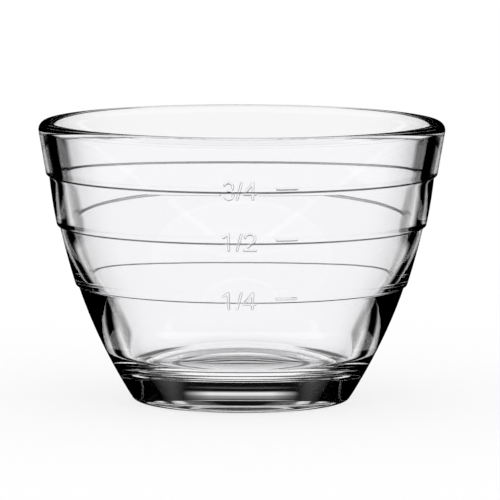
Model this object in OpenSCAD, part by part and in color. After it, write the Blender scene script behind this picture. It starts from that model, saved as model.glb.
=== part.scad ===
// Prep bowl of clear pressed glass, one piece, with three measuring ledges.
// Millimetres, +Z up, the origin at the middle of the foot on the surface it stands on.

/* [Size] */
// Height from the foot to the top of the rim
height = 66.2; // [64:0.5:80]
// Diameter over the rim
rim_d = 96; // [80:1:120]
// Thickness of the rounded rim
rim_t = 4; // [3:0.2:4.6]

/* [Ledges] */
// From the 1/4 ledge up to the 1/2 ledge
half_over = 14.1; // [11:0.1:18]
// From the 1/2 ledge up to the 3/4 ledge
three_quarter_over = 12; // [9:0.1:15]
// From the 3/4 ledge up to the top of the rim
rim_over = 12.7; // [10:0.1:16]
// From the rim in to the lip of the 1/4 ledge
quarter_in = 8.7; // [6:0.1:11]
// From the rim in to the lip of the 1/2 ledge
half_in = 4.3; // [3:0.1:5.6]
// From the rim in to the lip of the 3/4 ledge
three_quarter_in = 1.75; // [1.25:0.05:2.5]
// How far a ledge stands out over the wall under it
ledge_step = 0.8; // [0.5:0.1:1.2]
// Radius of the hollow corner under a ledge
ledge_fillet = 0.3; // [0.1:0.05:0.4]

/* [Wall] */
// Thickness of the wall at the 1/2 ledge
wall = 3.6; // [3:0.05:4]
// Thickness of the wall at the 1/4 ledge
low_wall = 4; // [3.4:0.1:4.6]
// How far the wall under the 1/4 ledge bows out
low_bow = 0.9; // [0:0.1:1.4]
// How far the wall between two ledges bows out
band_bow = 0.15; // [0:0.05:0.3]
// How far the inside bows out between the 1/4 and the 1/2 ledge
middle_bow = 0.65; // [0.4:0.05:0.8]
// From the lip of the 3/4 ledge in to the foot of the slope inside it
collar_in = 4.75; // [4.4:0.05:5]
// From the lip of the 3/4 ledge in to the top of the slope inside it
collar_wall = 3.15; // [2.9:0.05:3.5]
// From the 3/4 ledge down to the foot of the slope inside it
collar_under = 3.5; // [2.5:0.1:4.5]
// From the 3/4 ledge up to the top of the slope inside it
collar_over = 1.7; // [1:0.1:2.4]
// Radius of the soft bends of the inside
inside_round = 12; // [3:0.5:13]
// From the middle of the rim's round down to where the rim begins
rim_band = 5; // [3:0.5:6]
// How far the rim stands out over the wall under it
rim_flare = 1.15; // [0.8:0.05:1.4]

/* [Base] */
// Diameter of the flat that the bowl stands on
foot_d = 48.4; // [46:0.2:51]
// Radius of the outer corner of the foot
foot_round = 1.9; // [1:0.1:3]
// Width of the flat ring that the bowl stands on
ring_t = 2.7; // [2:0.1:4]
// Height of the floor inside over the foot
floor_z = 8.85; // [7.8:0.05:10]
// Diameter at which the inner wall and the floor would meet without their corner
floor_d = 50.8; // [48:0.2:53]
// Radius of the corner between the floor and the wall
floor_round = 7.7; // [3:0.1:10]
// How far the floor rises in its middle
floor_rise = 0.3; // [0.1:0.05:0.6]

/* [Hollow] */
// Depth of the hollow under the base
hollow_depth = 2.8; // [1.6:0.1:3.4]
// Slant of the hollow's side, measured across
hollow_slant = 1.3; // [0.4:0.1:1.8]
// Radius of the corner inside the hollow
hollow_round = 0.9; // [0.2:0.1:1.2]
// Diameter of the deeper disc in the middle of the hollow
disc_d = 32.6; // [28:0.2:36]
// How far the disc lies deeper than the hollow
disc_depth = 0.5; // [0.3:0.1:0.7]
// How far the disc rises in its middle
disc_rise = 0.45; // [0.2:0.05:0.8]

/* [Hidden] */
fine_steps = 4;
arc_steps = 10;
long_steps = 14;
rim_steps = 26;
round_steps = 180;
// Where the foot's corner runs into the wall, and where the rim's round ends, under the level
foot_angle = 33;
rim_angle = 15;
// Angle under the level at which the round of a ledge's lip ends
lip_angle = 10;
rim_r = rim_d / 2;
foot_r = foot_d / 2;
floor_r = floor_d / 2;
lip_r = [rim_r - quarter_in, rim_r - half_in, rim_r - three_quarter_in];
three_quarter_z = height - rim_over;
half_z = three_quarter_z - three_quarter_over;
quarter_z = half_z - half_over;
lip_z = [quarter_z, half_z, three_quarter_z];
lip_round = ledge_step - ledge_fillet;
// Unit vector along v
function unit(v) = v / norm(v);

// Points of a curve from a to b that stands out from the axis by bow at its middle
function bowed(a, b, bow, steps) = [
    for (i = [0:steps])
        let (way_share = i / steps)
        a + (b - a) * way_share + [bow * 4 * way_share * (1 - way_share), 0]
];

// Points of an arc round a centre, between two angles
function arc(centre, radius, from, to, steps) = [
    for (i = [0:steps])
        let (angle = from + (to - from) * i / steps)
        centre + radius * [cos(angle), sin(angle)]
];

// Points of an arc that rounds the corner of a way
function rounded(before, corner, after, radius, steps) =
    let (back = unit(before - corner),
         onward = unit(after - corner),
         half = acos(back * onward) / 2,
         centre = corner + unit(back + onward) * radius / sin(half),
         first = corner + back * radius / tan(half) - centre,
         start = atan2(first[1], first[0]),
         side = back[0] * onward[1] < back[1] * onward[0] ? 1 : -1)
    arc(centre, radius, start, start + side * (180 - 2 * half), steps);

// Points of a shallow dome from its edge to its middle
function dome(radius, edge_z, rise, steps) = [
    for (i = [0:steps])
        let (way_share = 1 - i / steps)
        [radius * way_share, edge_z + rise * (1 - way_share * way_share)]
];

// Where the wall meets the hollow corner under a ledge
function under_lip(i) = [lip_r[i] - ledge_step, lip_z[i] - ledge_fillet];

// Hollow corner and rounded lip of a ledge, from below
function lip(i) = concat(
    arc(under_lip(i) + [ledge_fillet, 0], ledge_fillet, 180, 90, fine_steps),
    arc([lip_r[i] - lip_round, lip_z[i] + lip_round], lip_round, -90, -lip_angle, fine_steps));

// Where the wall leaves the lip of a ledge
function over_lip(i) = [lip_r[i] - lip_round, lip_z[i] + lip_round]
    + lip_round * [cos(lip_angle), -sin(lip_angle)];

foot_centre = [foot_r, foot_round];
foot_side = foot_centre + foot_round * [cos(foot_angle), -sin(foot_angle)];
rim_centre = [rim_r - rim_t / 2, height - rim_t / 2];
rim_under = [rim_r - rim_flare, rim_centre[1] - rim_band];

outer = concat(
    arc(foot_centre, foot_round, -90, -foot_angle, arc_steps),
    bowed(foot_side, under_lip(0), low_bow, long_steps),
    lip(0),
    bowed(over_lip(0), under_lip(1), band_bow, fine_steps),
    lip(1),
    bowed(over_lip(1), under_lip(2), band_bow, fine_steps),
    lip(2),
    [rim_under],
    arc(rim_centre, rim_t / 2, -rim_angle, 180, rim_steps));

// Where the inside bends, from the mouth down to the floor
mouth = rim_centre - [rim_t / 2, 0];
collar_top = [lip_r[2] - collar_wall, three_quarter_z + collar_over];
collar_foot = [lip_r[2] - collar_in, three_quarter_z - collar_under];
half_inside = [lip_r[1] - wall, half_z];
quarter_inside = [lip_r[0] - low_wall, quarter_z];
floor_corner = rounded(quarter_inside, [floor_r, floor_z], [0, floor_z], floor_round, arc_steps);

inner = concat(
    rounded(mouth, collar_top, collar_foot, inside_round, fine_steps),
    rounded(collar_top, collar_foot, half_inside, inside_round, fine_steps),
    bowed(half_inside, quarter_inside, middle_bow, arc_steps),
    floor_corner,
    dome(floor_corner[arc_steps][0], floor_z, floor_rise, arc_steps));

ring_in = foot_r - ring_t;
hollow_r = ring_in - hollow_slant;
disc_r = disc_d / 2;
disc_dome = dome(disc_r, hollow_depth + disc_depth, disc_rise, arc_steps);

under = concat(
    [for (i = [arc_steps:-1:0]) disc_dome[i]],
    [[disc_r, hollow_depth]],
    rounded([disc_r, hollow_depth], [hollow_r, hollow_depth], [ring_in, 0], hollow_round, fine_steps),
    [[ring_in, 0]]);

// The whole bowl, pressed in one piece
module bowl() {
    color([0.93, 0.95, 0.96, 0.45])
        rotate_extrude($fn = round_steps)
            polygon(concat(outer, inner, under));
}

bowl();
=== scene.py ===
import math

import bmesh
import bpy
from bpy.props import FloatProperty, FloatVectorProperty, PointerProperty
from mathutils import Matrix, Vector


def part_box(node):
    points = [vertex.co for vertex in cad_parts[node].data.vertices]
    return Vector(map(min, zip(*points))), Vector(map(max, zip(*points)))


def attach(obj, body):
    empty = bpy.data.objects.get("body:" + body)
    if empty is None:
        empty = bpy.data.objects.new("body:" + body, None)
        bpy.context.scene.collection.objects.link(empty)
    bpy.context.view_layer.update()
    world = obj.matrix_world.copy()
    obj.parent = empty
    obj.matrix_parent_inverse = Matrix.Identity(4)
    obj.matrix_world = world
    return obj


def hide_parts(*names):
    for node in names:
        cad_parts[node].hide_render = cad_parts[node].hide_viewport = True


bl_info = {
    "name": "Prep Bowl",
    "version": (1, 0, 0),
    "blender": (4, 5, 0),
    "location": "View3D > Sidebar > Prep Bowl",
    "description": "Pressed-glass prep bowl with measuring ledges and raised marks",
    "category": "Object",
}

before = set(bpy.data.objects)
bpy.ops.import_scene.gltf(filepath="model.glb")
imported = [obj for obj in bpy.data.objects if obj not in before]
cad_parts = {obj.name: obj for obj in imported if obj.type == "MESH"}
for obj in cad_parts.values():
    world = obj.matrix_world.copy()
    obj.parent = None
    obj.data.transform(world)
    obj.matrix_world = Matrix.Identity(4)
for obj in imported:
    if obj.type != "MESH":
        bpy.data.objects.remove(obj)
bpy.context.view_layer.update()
bowl_low, bowl_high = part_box("bowl")

MM = 0.001
# Places nearer to each other than this are one
TINY = 0.001 * MM
# Height or width of the rows of faces on the walls, under the base and on the foot's ring
WALL_ROW = 0.6 * MM
HOLLOW_ROW = 1 * MM
RING_ROW = 0.8 * MM
# Angles in degrees at which the rounds of the foot, of a lip and of the rim meet the outer wall
FOOT_END = -33
LIP_END = -10
RIM_START = -15


def length(name, description, default):
    """A length that the user can set, in metres."""
    return FloatProperty(name=name, description=description, default=default, unit="LENGTH")


def degrees(name, description, default):
    """An angle that the user can set, given here in degrees."""
    return FloatProperty(name=name, description=description, default=math.radians(default), subtype="ANGLE")


class BowlSizes(bpy.types.PropertyGroup):
    """Sizes of the pressed glass body."""
    height: length("Height", "From the foot to the top of the rim", bowl_high.z)
    rim_d: length("Rim diameter", "Over the outside of the rim", bowl_high.x - bowl_low.x)
    rim_t: length("Rim thickness", "Of the rounded rim", 4 * MM)
    half_over: length("1/2 over 1/4", "From the 1/4 ledge up to the 1/2 ledge", 14.1 * MM)
    three_quarter_over: length("3/4 over 1/2", "From the 1/2 ledge up to the 3/4 ledge", 12 * MM)
    rim_over: length("Rim over 3/4", "From the 3/4 ledge up to the top of the rim", 12.7 * MM)
    quarter_in: length("1/4 ledge inset", "From the rim in to the lip of the 1/4 ledge", 8.7 * MM)
    half_in: length("1/2 ledge inset", "From the rim in to the lip of the 1/2 ledge", 4.3 * MM)
    three_quarter_in: length("3/4 ledge inset", "From the rim in to the lip of the 3/4 ledge", 1.75 * MM)
    ledge_step: length("Ledge step", "How far a ledge stands out over the wall under it", 0.8 * MM)
    ledge_fillet: length("Ledge fillet", "Radius of the hollow corner under a ledge", 0.3 * MM)
    lip_round: length("Lip round", "Radius of the lip of a ledge", 0.5 * MM)
    low_bow: length("Lower bow", "How far the wall under the 1/4 ledge bows out", 0.96 * MM)
    band_bow: length("Band bow", "How far the wall between two ledges bows out", 0.15 * MM)
    wall: length("Wall", "Thickness of the wall at the 1/2 ledge", 3.85 * MM)
    low_wall: length("Low wall", "Thickness of the wall at the 1/4 ledge", 3.95 * MM)
    upper_bow: length("Upper bow", "How far the inside bows out over the 1/2 ledge", 0.3 * MM)
    middle_bow: length("Middle bow", "How far the inside bows out under the 1/2 ledge", 0.45 * MM)
    lower_bow: length("Inner lower bow", "How far the inside bows out under the 1/4 ledge", 0.08 * MM)
    foot_d: length("Foot diameter", "Of the flat that the bowl stands on", 48.7 * MM)
    foot_round: length("Foot corner", "Radius of the outer corner of the foot", 1.85 * MM)
    ring_t: length("Ring width", "Width of the flat ring that the bowl stands on", 2.3 * MM)
    hollow_depth: length("Hollow depth", "Of the hollow under the base", 2.8 * MM)
    hollow_slant: length("Hollow slant", "Slant of the hollow's side, measured across", 1.35 * MM)
    hollow_round: length("Hollow corner", "Radius of the corner inside the hollow", 1.05 * MM)
    disc_d: length("Disc diameter", "Of the deeper disc in the middle of the hollow", 31.7 * MM)
    disc_depth: length("Disc depth", "How far the disc lies deeper than the hollow", 0.5 * MM)
    disc_rise: length("Disc rise", "How far the disc rises in its middle", 0.5 * MM)
    floor_z: length("Floor height", "From the foot to the floor inside", 8.8 * MM)
    floor_d: length("Floor diameter", "Where the inner wall would meet the floor if sharp", 51.3 * MM)
    floor_rise: length("Floor rise", "How far the floor rises in its middle", 0.3 * MM)
    floor_round: length("Floor corner", "Radius between the floor and the wall", 7.9 * MM)


class MarkSizes(bpy.types.PropertyGroup):
    """Sizes of the raised figures and dashes."""
    figure_h: length("Figure height", "Height of a figure", 3.9 * MM)
    figure_x: length("Figure start", "Sideways place of a mark's left edge", -4.1 * MM)
    figure_drop: length("Figure drop", "How far a figure reaches below its ledge", 1.4 * MM)
    stroke: length("Stroke", "Width of a stroke on top", 0.3 * MM)
    flank: length("Flank", "Width of the slope beside a stroke", 0.18 * MM)
    relief: length("Relief", "How far the marks stand out of the glass", 0.15 * MM)
    dash_x: length("Dash start", "Sideways place of a dash's left end", 8.2 * MM)
    dash_l: length("Dash length", "Length of a dash", 4.6 * MM)
    dash_rise: length("Dash rise", "Height of a dash over its ledge", 1.0 * MM)
    fine: length("Fine row", "Width of the small faces that the marks are made of", 0.11 * MM)


class GlassLook(bpy.types.PropertyGroup):
    """Finish of the glass."""
    tint: FloatVectorProperty(name="Tint", description="Colour of the glass", subtype="COLOR", size=3,
                              default=(0.992, 0.989, 0.999), min=0, max=1)
    ior: FloatProperty(name="Index of refraction", description="Of soda-lime glass", default=1.52)
    ripple: length("Ripple", "Height of the faint ripple of pressed glass", 0.004 * MM)
    ripple_gap: length("Ripple gap", "From one crest of the ripple to the next", 6 * MM)


class StageLook(bpy.types.PropertyGroup):
    """Camera, floor and light."""
    lens: length("Lens", "Focal length of the camera", 396 * MM)
    distance: length("Distance", "From the camera to the bowl's axis", 1301 * MM)
    look_down: degrees("Look down", "How far the camera looks down", 6.27)
    roll: degrees("Roll", "Turn of the camera about its own axis", 0.17)
    aim_x: length("Aim sideways", "Place of the middle of the picture, to the right of the axis", 2.0 * MM)
    aim_z: length("Aim height", "Place of the middle of the picture, over the foot", 35.5 * MM)
    floor_r: length("Floor radius", "Radius of the floor disc", 300 * MM)
    floor_drop: length("Floor drop", "How far the floor lies under the foot", 0.2 * MM)
    shadow_share: FloatProperty(name="Shadow share", description="Share of the floor that shows the shadow",
                                default=0.25, min=0, max=1)


def arc(centre, radius, start, end, steps):
    """Points of an arc round a centre, between two angles in degrees."""
    points = []
    for i in range(steps + 1):
        angle = math.radians(start + (end - start) * i / steps)
        points.append(Vector((centre[0] + radius * math.cos(angle), centre[1] + radius * math.sin(angle))))
    return points


def bowed(start, end, bow, row):
    """Points of a shallow curve whose middle stands out by bow, in rows of a given height."""
    start, end = Vector(start), Vector(end)
    steps = max(1, round((end - start).length / row))
    points = []
    for i in range(steps + 1):
        share = i / steps
        points.append(start.lerp(end, share) + Vector((bow * 4 * share * (1 - share), 0)))
    return points


def rounded(before, corner, after, radius, steps):
    """Points of an arc that rounds the corner of a way."""
    before, corner, after = Vector(before), Vector(corner), Vector(after)
    back, onward = (before - corner).normalized(), (after - corner).normalized()
    half = back.angle(onward) / 2
    centre = corner + (back + onward).normalized() * radius / math.sin(half)
    first = corner + back * radius / math.tan(half) - centre
    start = math.degrees(math.atan2(first.y, first.x))
    turn = 180 - math.degrees(2 * half)
    left_hand = back.x * onward.y - back.y * onward.x < 0
    return arc(centre, radius, start, start + (turn if left_hand else -turn), steps)


def joined(*runs):
    """One run of points from several, without the points that repeat."""
    points = []
    for run in runs:
        for place in run:
            if not points or (place - points[-1]).length > TINY:
                points.append(place)
    return points


def lips(s):
    """Radius and height of each ledge's lip, from the lowest up."""
    rim_r = s.rim_d / 2
    three_quarter_z = s.height - s.rim_over
    half_z = three_quarter_z - s.three_quarter_over
    quarter_z = half_z - s.half_over
    return [(rim_r - s.quarter_in, quarter_z), (rim_r - s.half_in, half_z),
            (rim_r - s.three_quarter_in, three_quarter_z)]


def dome(radius, edge_z, rise, steps):
    """Points of a shallow dome, from its edge to its middle."""
    shares = [1 - i / steps for i in range(steps + 1)]
    return [Vector((radius * share, edge_z + rise * (1 - share * share))) for share in shares]


def underside(s):
    """The hollow and the flat of the foot, from the middle outwards."""
    ring_in = s.foot_d / 2 - s.ring_t
    disc_edge = (s.disc_d / 2, s.hollow_depth)
    hollow_edge = (ring_in - s.hollow_slant, s.hollow_depth)
    disc = dome(s.disc_d / 2, s.hollow_depth + s.disc_depth, s.disc_rise, steps=12)
    corner = rounded(disc_edge, hollow_edge, (ring_in, 0), s.hollow_round, steps=6)
    return joined(disc[::-1], bowed(disc_edge, corner[0], 0, HOLLOW_ROW), corner,
                  bowed(corner[-1], (ring_in, 0), 0, WALL_ROW),
                  bowed((ring_in, 0), (s.foot_d / 2, 0), 0, RING_ROW))


def outside(s):
    """The outer wall, from the corner of the foot up over the ledges to the rim."""
    points = arc((s.foot_d / 2, s.foot_round), s.foot_round, -90, FOOT_END, steps=8)
    bow = s.low_bow
    for lip_r, lip_z in lips(s):
        foot_r, foot_z = lip_r - s.ledge_step, lip_z - s.ledge_fillet
        points = joined(points, bowed(points[-1], (foot_r, foot_z), bow, WALL_ROW),
                        arc((foot_r + s.ledge_fillet, foot_z), s.ledge_fillet, 180, 90, steps=4),
                        arc((lip_r - s.lip_round, lip_z + s.lip_round), s.lip_round, -90, LIP_END, steps=6))
        bow = s.band_bow
    return joined(points, bowed(points[-1], rim(s)[0], 0, WALL_ROW))


def rim(s):
    """The round of the rim, from the outside over the top."""
    middle = (s.rim_d / 2 - s.rim_t / 2, s.height - s.rim_t / 2)
    return arc(middle, s.rim_t / 2, RIM_START, 180, steps=26)


def inside(s):
    """The inner wall and the floor, from the rim down to the middle."""
    (quarter_r, quarter_z), (half_r, half_z), _ = lips(s)
    mouth = Vector((s.rim_d / 2 - s.rim_t, s.height - s.rim_t / 2))
    half = Vector((half_r - s.wall, half_z))
    quarter = Vector((quarter_r - s.low_wall, quarter_z))
    corner = rounded(quarter, (s.floor_d / 2, s.floor_z), (0, s.floor_z), s.floor_round, steps=12)
    return joined(bowed(mouth, half, s.upper_bow, WALL_ROW), bowed(half, quarter, s.middle_bow, WALL_ROW),
                  bowed(quarter, corner[0], s.lower_bow, WALL_ROW), corner,
                  dome(corner[-1].x, s.floor_z, s.floor_rise, steps=14))


def outline(s):
    """Section of the glass, from the middle of the underside round the rim to the middle of the floor."""
    return joined(underside(s), outside(s), rim(s), inside(s))


# Columns of faces round the bowl, and the angle of one
COLUMNS = 200
COLUMN = 2 * math.pi / COLUMNS


def spin_outline(bm, points):
    """Spins a section once round the axis, and closes its two poles."""
    verts = [bm.verts.new((p.x, 0, p.y)) for p in points]
    edges = [bm.edges.new(pair) for pair in zip(verts, verts[1:])]
    bmesh.ops.spin(bm, geom=verts + edges, cent=(0, 0, 0), axis=(0, 0, 1), dvec=(0, 0, 0),
                   angle=2 * math.pi, steps=COLUMNS, use_merge=True)
    poles = [vert for vert in bm.verts if vert.co.xy.length < TINY]
    bmesh.ops.remove_doubles(bm, verts=poles, dist=TINY)
    bmesh.ops.recalc_face_normals(bm, faces=bm.faces)


def new_piece(name, bm):
    """Makes an object at the origin from a bmesh, with smooth faces."""
    mesh = bpy.data.meshes.new(name)
    bm.to_mesh(mesh)
    bm.free()
    mesh.polygons.foreach_set("use_smooth", [True] * len(mesh.polygons))
    piece = bpy.data.objects.new(name, mesh)
    bpy.context.scene.collection.objects.link(piece)
    return piece


class PREPBOWL_OT_press_body(bpy.types.Operator):
    """Spin the glass body of the bowl"""
    bl_idname = "prepbowl.press_body"
    bl_label = "Press Glass Body"

    def execute(self, context):
        bm = bmesh.new()
        spin_outline(bm, outline(context.scene.bowl_sizes))
        piece = new_piece("glass_bowl", bm)
        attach(piece, "root")
        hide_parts("bowl")
        return {"FINISHED"}


def curve(centre, radius, start, end):
    """An arc of a figure, in shares of the figure's height."""
    return [tuple(place) for place in arc(centre, radius, start, end, steps=10)]


# Strokes of each figure: places across from its left edge and up from its foot, as shares of its height
FIGURE_SHARES = {
    "1": [[(0.02, 0.78), (0.3, 1.0), (0.3, 0.0)]],
    "2": [curve((0.36, 0.7), 0.3, 165, -38) + [(0.03, 0.0), (0.72, 0.0)]],
    "3": [curve((0.3, 0.75), 0.25, 155, -90) + curve((0.3, 0.25), 0.27, 90, -155)],
    "4": [[(0.53, 0.0), (0.53, 1.0), (0.0, 0.3), (0.72, 0.3)]],
    "/": [[(0.0, 0.0), (0.27, 1.0)]],
}
# Where the three figures of a mark begin, in the same shares
PLACE_SHARES = (0.0, 0.8, 1.2)
MARKS = ("1/4", "1/2", "3/4")


def mark_strokes(text, m):
    """Lines of a mark and its dash, across and up from the front of its ledge."""
    lines = []
    for figure, start in zip(text, PLACE_SHARES):
        for stroke in FIGURE_SHARES[figure]:
            places = [Vector((m.figure_x + (start + x) * m.figure_h, y * m.figure_h - m.figure_drop))
                      for x, y in stroke]
            lines += list(zip(places, places[1:]))
    left = Vector((m.dash_x, m.dash_rise))
    lines.append((left, left + Vector((m.dash_l, 0))))
    return lines


def off_line(place, line):
    """Distance of a place from a line."""
    start, end = line
    along = end - start
    share = max(0, min(1, (place - start).dot(along) / along.length_squared))
    return (place - start - along * share).length


def is_level(edge):
    """Whether an edge runs round the bowl, and not up its wall."""
    start, end = (vert.co for vert in edge.verts)
    return abs(start.z - end.z) < TINY / 10 and abs(start.xy.length - end.xy.length) < TINY * 10


def split(bm, edges, cuts):
    """Cuts edges, and the faces between them, into small ones."""
    bmesh.ops.subdivide_edges(bm, edges=edges, cuts=cuts, use_grid_fill=True)
    bm.normal_update()


def raise_strokes(bm, lines, lip, m):
    """Makes small faces round some lines of a mark, and lifts those on its strokes."""
    lip_r, lip_z = lip
    margin = m.stroke + m.flank * 2
    ends = [end for line in lines for end in line]
    left, right = min(e.x for e in ends) - margin, max(e.x for e in ends) + margin
    low, high = min(e.y for e in ends) - margin, max(e.y for e in ends) + margin

    def unrolled(co):
        """Place on the unrolled wall, across and up from the front of the ledge."""
        return Vector((math.atan2(co.x, -co.y) * lip_r, co.z - lip_z))

    def wall_faces():
        """Faces of the outer wall round these lines."""
        faces = []
        for face in bm.faces:
            if face.verts[0].co.y > 0:
                continue
            middle = face.calc_center_median()
            at = unrolled(middle)
            if left < at.x < right and low < at.y < high and face.normal.dot(middle) > 0:
                faces.append(face)
        return faces

    def wall_edges(level):
        """Their edges that run round the bowl, or those that run up its wall, each once."""
        return list(dict.fromkeys(e for face in wall_faces() for e in face.edges if is_level(e) == level))

    split(bm, wall_edges(True), round(lip_r * COLUMN / m.fine) - 1)
    by_cuts = {}
    for edge in wall_edges(False):
        by_cuts.setdefault(round(edge.calc_length() / m.fine) - 1, []).append(edge)
    for cuts, edges in by_cuts.items():
        if cuts > 0:
            split(bm, edges, cuts)
    for vert in dict.fromkeys(vert for face in wall_faces() for vert in face.verts):
        distance = min(off_line(unrolled(vert.co), line) for line in lines)
        share = max(0, min(1, (distance - m.stroke / 2) / m.flank))
        raised = m.relief * (1 - share * share * (3 - 2 * share))
        # A split face is flat, so its places are moved out onto the round first
        away = (math.atan2(vert.co.y, vert.co.x) / COLUMN % 1 - 0.5) * COLUMN
        grow = math.cos(away) / math.cos(COLUMN / 2) + raised / vert.co.xy.length
        vert.co.xy = vert.co.xy * grow


class PREPBOWL_OT_raise_marks(bpy.types.Operator):
    """Raise the figures and dashes out of the outer wall, in front"""
    bl_idname = "prepbowl.raise_marks"
    bl_label = "Raise Marks"

    def execute(self, context):
        sizes, marks = context.scene.bowl_sizes, context.scene.mark_sizes
        mesh = bpy.data.objects["glass_bowl"].data
        bm = bmesh.new()
        bm.from_mesh(mesh)
        for text, lip in zip(MARKS, lips(sizes)):
            *figures, dash = mark_strokes(text, marks)
            raise_strokes(bm, figures, lip, marks)
            raise_strokes(bm, [dash], lip, marks)
        bmesh.ops.recalc_face_normals(bm, faces=bm.faces)
        bm.to_mesh(mesh)
        bm.free()
        mesh.polygons.foreach_set("use_smooth", [True] * len(mesh.polygons))
        return {"FINISHED"}


def maths(tree, operation, first, second=None):
    """A Math node; an input is a socket or a number."""
    node = tree.nodes.new("ShaderNodeMath")
    node.operation = operation
    for socket, value in zip(node.inputs, (first, second)):
        if isinstance(value, bpy.types.NodeSocket):
            tree.links.new(value, socket)
        elif value is not None:
            socket.default_value = value
    return node.outputs[0]


def mixed(tree, share, first, second):
    """A Mix Shader node, with the share of the second of two shaders."""
    mix = tree.nodes.new("ShaderNodeMixShader")
    for socket, source in zip(mix.inputs, (share, first, second)):
        tree.links.new(source, socket)
    return mix.outputs[0]


def from_glass(tree, path):
    """1 for a ray that glass has mirrored or let through, else 0."""
    return maths(tree, "MAXIMUM", path.outputs["Is Glossy Ray"], path.outputs["Is Transmission Ray"])


def pressed_glass(look):
    """Clear glass with a faint ripple."""
    material = bpy.data.materials.new("pressed_glass")
    material.use_nodes = True
    nodes, links = material.node_tree.nodes, material.node_tree.links
    shader = nodes["Principled BSDF"]
    shader.inputs["Base Color"].default_value = (*look.tint, 1)
    shader.inputs["Roughness"].default_value = 0.0
    shader.inputs["IOR"].default_value = look.ior
    shader.inputs["Transmission Weight"].default_value = 1.0
    place = nodes.new("ShaderNodeTexCoord")
    ripple = nodes.new("ShaderNodeTexNoise")
    ripple.inputs["Scale"].default_value = 1 / look.ripple_gap
    ripple.inputs["Detail"].default_value = 1.0
    links.new(place.outputs["Object"], ripple.inputs["Vector"])
    bump = nodes.new("ShaderNodeBump")
    bump.inputs["Distance"].default_value = look.ripple
    links.new(ripple.outputs["Fac"], bump.inputs["Height"])
    links.new(bump.outputs["Normal"], shader.inputs["Normal"])
    return material


class PREPBOWL_OT_polish_glass(bpy.types.Operator):
    """Give the body its clear glass"""
    bl_idname = "prepbowl.polish_glass"
    bl_label = "Polish Glass"

    def execute(self, context):
        body = bpy.data.objects["glass_bowl"]
        body.data.materials.append(pressed_glass(context.scene.glass_look))
        return {"FINISHED"}


def white_floor(look):
    """White floor with a faint shadow. Glass shows the studio's lower half in its place."""
    material = bpy.data.materials.new("white_floor")
    material.use_nodes = True
    tree = material.node_tree
    tree.nodes.remove(tree.nodes["Principled BSDF"])
    paint = tree.nodes.new("ShaderNodeBsdfDiffuse")
    paint.inputs["Color"].default_value = (1, 1, 1, 1)
    glow = tree.nodes.new("ShaderNodeEmission")
    clear = tree.nodes.new("ShaderNodeBsdfTransparent")
    path = tree.nodes.new("ShaderNodeLightPath")
    white_share = maths(tree, "MULTIPLY", path.outputs["Is Camera Ray"], 1 - look.shadow_share)
    floor = mixed(tree, white_share, paint.outputs[0], glow.outputs[0])
    surface = mixed(tree, from_glass(tree, path), floor, clear.outputs[0])
    tree.links.new(surface, tree.nodes["Material Output"].inputs["Surface"])
    return material


# The studio as one sees it through clear glass, in layers. A layer says how bright it is at each angle off
# the back, and at each height, both in degrees. The low bands stand for the bright lines in the thick base.
FLOOR_BELOW = ([(0, 1), (180, 1)], [(-90, 1), (-54, 1), (-48, 0), (90, 0)])
FLOOR_AROUND = ([(0, 0), (28, 0), (36, 1), (180, 1)],
                [(-90, 0), (-54, 0), (-48, 1), (-16, 1), (-12, 0), (90, 0)])
SIDES = ([(0, 0), (62, 0), (76, 1), (104, 1), (120, 0.8), (180, 0.8)],
         [(-90, 0), (-16, 0), (-12, 1), (0.2, 1), (0.6, 0), (90, 0)])
WINDOW = ([(0, 1), (14, 1), (16, 0.4), (18, 0.04), (20, 0), (180, 0)],
          [(-90, 0), (-54, 0), (-48, 1), (0.2, 1), (0.6, 0), (90, 0)])
LOW_BANDS = ([(0, 1), (10, 1), (20, 0), (180, 0)],
             [(-90, 0), (0.2, 0), (0.6, 0.02), (1.8, 0.02), (2.3, 0.3), (3.8, 0.3), (4.4, 0.9),
              (6, 0.9), (6.5, 0), (8.6, 0), (9, 0.1), (9.6, 0.1), (10, 0), (90, 0)])
CEILING = ([(0, 1), (80, 1), (95, 0.05), (180, 0.05)], [(-90, 0), (37, 0), (39.5, 0.9), (90, 0.9)])
SEEN_THROUGH = (FLOOR_BELOW, FLOOR_AROUND, SIDES, WINDOW, LOW_BANDS, CEILING)
# The studio as the polished surface mirrors it, in the same form
MIRRORED = ([(0, 0), (65, 0), (88, 1), (180, 1)],
            [(-90, 0.04), (-56, 0.04), (-50, 1), (0, 1), (4, 0.4), (28, 0.4), (34, 0.1), (90, 0.1)])


def bright_ramp(tree, place, stops):
    """A ramp of greys along a place from 0 to 1, from pairs of place and brightness."""
    ramp = tree.nodes.new("ShaderNodeValToRGB")
    elements = ramp.color_ramp.elements
    for _ in range(len(stops) - 2):
        elements.new(0.5)
    for element, (position, bright) in zip(elements, stops):
        element.position = position
        element.color = (bright, bright, bright, 1)
    tree.links.new(place, ramp.inputs[0])
    return ramp.outputs[0]


def layer_glow(tree, turn, rise, layer):
    """Light of one layer of the studio."""
    around, up = layer
    glow = tree.nodes.new("ShaderNodeBackground")
    across = bright_ramp(tree, turn, [(angle / 180, bright) for angle, bright in around])
    tree.links.new(across, glow.inputs["Color"])
    upward = bright_ramp(tree, rise, [(angle / 180 + 0.5, bright) for angle, bright in up])
    tree.links.new(upward, glow.inputs["Strength"])
    return glow.outputs[0]


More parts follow.
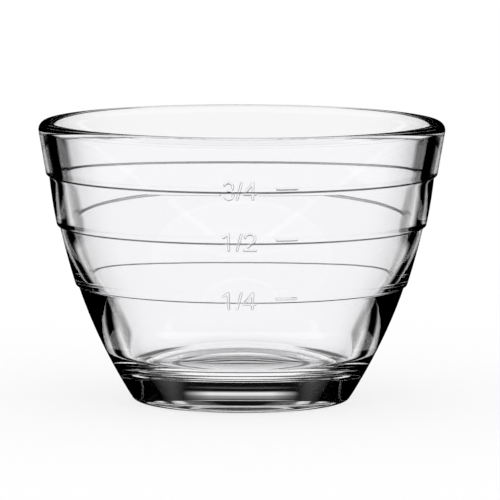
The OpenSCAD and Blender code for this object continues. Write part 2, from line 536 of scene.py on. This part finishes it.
def studio_world():
    """Plain white surroundings. Only glass shows the studio's layers."""
    world = bpy.data.worlds.new("studio")
    world.use_nodes = True
    tree = world.node_tree
    plain = tree.nodes["Background"]
    plain.inputs["Color"].default_value = (1, 1, 1, 1)
    place = tree.nodes.new("ShaderNodeTexCoord")
    parts = tree.nodes.new("ShaderNodeSeparateXYZ")
    tree.links.new(place.outputs["Generated"], parts.inputs[0])
    turn = maths(tree, "ABSOLUTE", maths(tree, "ARCTAN2", parts.outputs["X"], parts.outputs["Y"]))
    turn = maths(tree, "DIVIDE", turn, math.pi)
    rise = maths(tree, "ARCSINE", parts.outputs["Z"])
    rise = maths(tree, "ADD", maths(tree, "DIVIDE", rise, math.pi), 0.5)
    through = layer_glow(tree, turn, rise, SEEN_THROUGH[0])
    for layer in SEEN_THROUGH[1:]:
        both = tree.nodes.new("ShaderNodeAddShader")
        tree.links.new(through, both.inputs[0])
        tree.links.new(layer_glow(tree, turn, rise, layer), both.inputs[1])
        through = both.outputs[0]
    path = tree.nodes.new("ShaderNodeLightPath")
    mirrored = layer_glow(tree, turn, rise, MIRRORED)
    studio = mixed(tree, path.outputs["Is Transmission Ray"], mirrored, through)
    surface = mixed(tree, from_glass(tree, path), plain.outputs[0], studio)
    tree.links.new(surface, tree.nodes["World Output"].inputs["Surface"])
    return world


class PREPBOWL_OT_set_stage(bpy.types.Operator):
    """Lay the pale floor and light the studio"""
    bl_idname = "prepbowl.set_stage"
    bl_label = "Set Stage"

    def execute(self, context):
        look = context.scene.stage_look
        bm = bmesh.new()
        bmesh.ops.create_circle(bm, cap_ends=True, segments=128, radius=look.floor_r)
        bmesh.ops.translate(bm, verts=bm.verts, vec=(0, 0, -look.floor_drop))
        floor = new_piece("floor", bm)
        floor.data.materials.append(white_floor(look))
        context.scene.world = studio_world()
        return {"FINISHED"}


# Width of the camera's picture in millimetres, as Blender's lens lengths take it
SENSOR_WIDTH = 36


class PREPBOWL_OT_aim_camera(bpy.types.Operator):
    """Stand the camera in front of the bowl"""
    bl_idname = "prepbowl.aim_camera"
    bl_label = "Aim Camera"

    def execute(self, context):
        look = context.scene.stage_look
        data = bpy.data.cameras.new("camera")
        data.sensor_width = SENSOR_WIDTH
        data.lens = look.lens / MM
        camera = bpy.data.objects.new("camera", data)
        context.scene.collection.objects.link(camera)
        back = Vector((0, -math.cos(look.look_down), math.sin(look.look_down)))
        aim = Vector((look.aim_x, 0, look.aim_z))
        turn = Matrix.Rotation(math.pi / 2 - look.look_down, 4, "X") @ Matrix.Rotation(look.roll, 4, "Z")
        camera.matrix_world = Matrix.Translation(aim + back * look.distance) @ turn
        context.scene.camera = camera
        context.scene.view_settings.view_transform = "Standard"
        return {"FINISHED"}


class PREPBOWL_PT_sidebar(bpy.types.Panel):
    """Lists the steps that make the bowl"""
    bl_idname = "PREPBOWL_PT_sidebar"
    bl_label = "Prep Bowl"
    bl_space_type = "VIEW_3D"
    bl_region_type = "UI"
    bl_category = "Prep Bowl"

    def draw(self, context):
        for step in STEPS:
            self.layout.operator(step.bl_idname)
        for group in GROUPS:
            settings = getattr(context.scene, group)
            box = self.layout.box()
            for name in settings.bl_rna.properties.keys():
                if name not in ("rna_type", "name"):
                    box.prop(settings, name)


GROUPS = {
    "bowl_sizes": BowlSizes,
    "mark_sizes": MarkSizes,
    "glass_look": GlassLook,
    "stage_look": StageLook,
}
# In the order in which they are run
STEPS = (
    PREPBOWL_OT_press_body,
    PREPBOWL_OT_raise_marks,
    PREPBOWL_OT_polish_glass,
    PREPBOWL_OT_set_stage,
    PREPBOWL_OT_aim_camera,
)


def register():
    for cls in (*GROUPS.values(), *STEPS, PREPBOWL_PT_sidebar):
        bpy.utils.register_class(cls)
    for name, group in GROUPS.items():
        setattr(bpy.types.Scene, name, PointerProperty(type=group))


def unregister():
    for name in GROUPS:
        delattr(bpy.types.Scene, name)
    for cls in reversed((*GROUPS.values(), *STEPS, PREPBOWL_PT_sidebar)):
        bpy.utils.unregister_class(cls)


def main():
    """Makes the bowl and its stage."""
    register()
    bpy.ops.prepbowl.press_body()
    bpy.ops.prepbowl.raise_marks()
    bpy.ops.prepbowl.polish_glass()
    bpy.ops.prepbowl.set_stage()
    bpy.ops.prepbowl.aim_camera()


if __name__ == "__main__":
    main()
